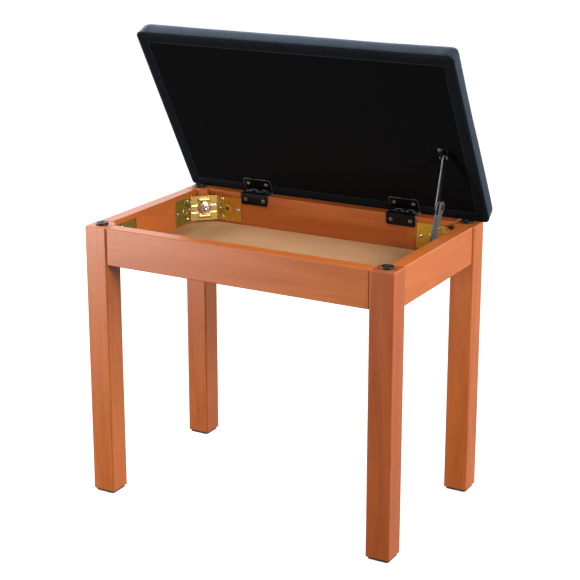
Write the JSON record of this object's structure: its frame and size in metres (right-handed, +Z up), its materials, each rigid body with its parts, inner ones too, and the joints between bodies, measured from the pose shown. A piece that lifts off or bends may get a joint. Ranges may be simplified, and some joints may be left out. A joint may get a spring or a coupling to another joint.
{
  "type": "piano bench",
  "caption": "Wooden piano bench with square legs, a storage box under a hinged padded seat, zinc corner brackets and a folding lid stay, shown open.",
  "frame": {"origin": "on the floor, under the middle of the whole bench with its lid open", "axes": "+Z up, +X towards the bench's right end, -Y towards the front, where the player's knees are"},
  "size_m": [0.546, 0.3446, 0.7418],
  "materials": {
    "cherry_wood": "satin lacquer over cherry stain",
    "hardboard": "bare smooth hardboard",
    "plywood": "bare",
    "yellow_zinc": "yellow chromate zinc plate",
    "bolt_zinc": "zinc plate",
    "black_metal": "black coated steel",
    "rivet_steel": "bright steel",
    "bumper_rubber": "matte",
    "foot_plastic": "matte",
    "woven_cover": "dark woven cloth",
    "dust_cloth": "black non-woven cloth"
  },
  "bodies": {
    "frame": {"leg_front_left": "cherry_wood", "foot_pad_front_left": "foot_plastic", "lid_bumper_front_left": "bumper_rubber", "corner_bracket_front_left": "yellow_zinc", "hanger_bolt_front_left": "bolt_zinc", "bolt_nut_front_left": "bolt_zinc", "leg_front_right": "cherry_wood", "foot_pad_front_right": "foot_plastic", "lid_bumper_front_right": "bumper_rubber", "corner_bracket_front_right": "yellow_zinc", "hanger_bolt_front_right": "bolt_zinc", "bolt_nut_front_right": "bolt_zinc", "leg_rear_left": "cherry_wood", "foot_pad_rear_left": "foot_plastic", "lid_bumper_rear_left": "bumper_rubber", "corner_bracket_rear_left": "yellow_zinc", "hanger_bolt_rear_left": "bolt_zinc", "bolt_nut_rear_left": "bolt_zinc", "leg_rear_right": "cherry_wood", "foot_pad_rear_right": "foot_plastic", "lid_bumper_rear_right": "bumper_rubber", "corner_bracket_rear_right": "yellow_zinc", "hanger_bolt_rear_right": "bolt_zinc", "bolt_nut_rear_right": "bolt_zinc", "apron_front": "cherry_wood", "apron_rear": "cherry_wood", "apron_left": "cherry_wood", "apron_right": "cherry_wood", "bottom_panel": "hardboard", "hinge_box_leaf_left": "black_metal", "hinge_pin_left": "black_metal", "hinge_box_screw_left_a": "black_metal", "hinge_box_screw_left_b": "black_metal", "hinge_box_leaf_right": "black_metal", "hinge_pin_right": "black_metal", "hinge_box_screw_right_a": "black_metal", "hinge_box_screw_right_b": "black_metal", "stay_box_bracket": "black_metal", "stay_box_pin": "black_metal", "stay_box_screw_a": "black_metal", "stay_box_screw_b": "black_metal"},
    "lid": {"hinge_lid_leaf_left": "black_metal", "hinge_lid_screw_left_a": "black_metal", "hinge_lid_screw_left_b": "black_metal", "hinge_lid_leaf_right": "black_metal", "hinge_lid_screw_right_a": "black_metal", "hinge_lid_screw_right_b": "black_metal", "seat_board": "plywood", "seat_cushion": "woven_cover", "cover_hem": "woven_cover", "dust_cover": "dust_cloth", "stay_lid_bracket": "black_metal", "stay_lid_pin": "black_metal", "stay_lid_screw_a": "black_metal", "stay_lid_screw_b": "black_metal"},
    "stay_lower": {"stay_lower_arm": "black_metal", "stay_elbow_rivet": "rivet_steel"},
    "stay_upper": {"stay_upper_arm": "black_metal", "stay_elbow_tail": "rivet_steel"}
  },
  "joints": [
    {"name": "lid_hinge", "type": "hinge", "parent": "frame", "child": "lid", "pos_m": [0, 0.1457, 0.4526], "axis": [1, 0, 0], "range_deg": [0, 60]},
    {"name": "stay_lower_pivot", "type": "hinge", "parent": "frame", "child": "stay_lower", "pos_m": [0.235, 0.0322, 0.4093], "axis": [1, 0, 0], "range_deg": [0, 116.54]},
    {"name": "stay_upper_pivot", "type": "hinge", "parent": "lid", "child": "stay_upper", "pos_m": [0.2325, 0.07348, 0.56448], "axis": [1, 0, 0], "range_deg": [-116.09, 0]}
  ],
  "couplings": [
    {"joint": "stay_lower_pivot", "follows": "lid_hinge", "ratio": 1.9422},
    {"joint": "stay_upper_pivot", "follows": "lid_hinge", "ratio": -1.9346}
  ]
}
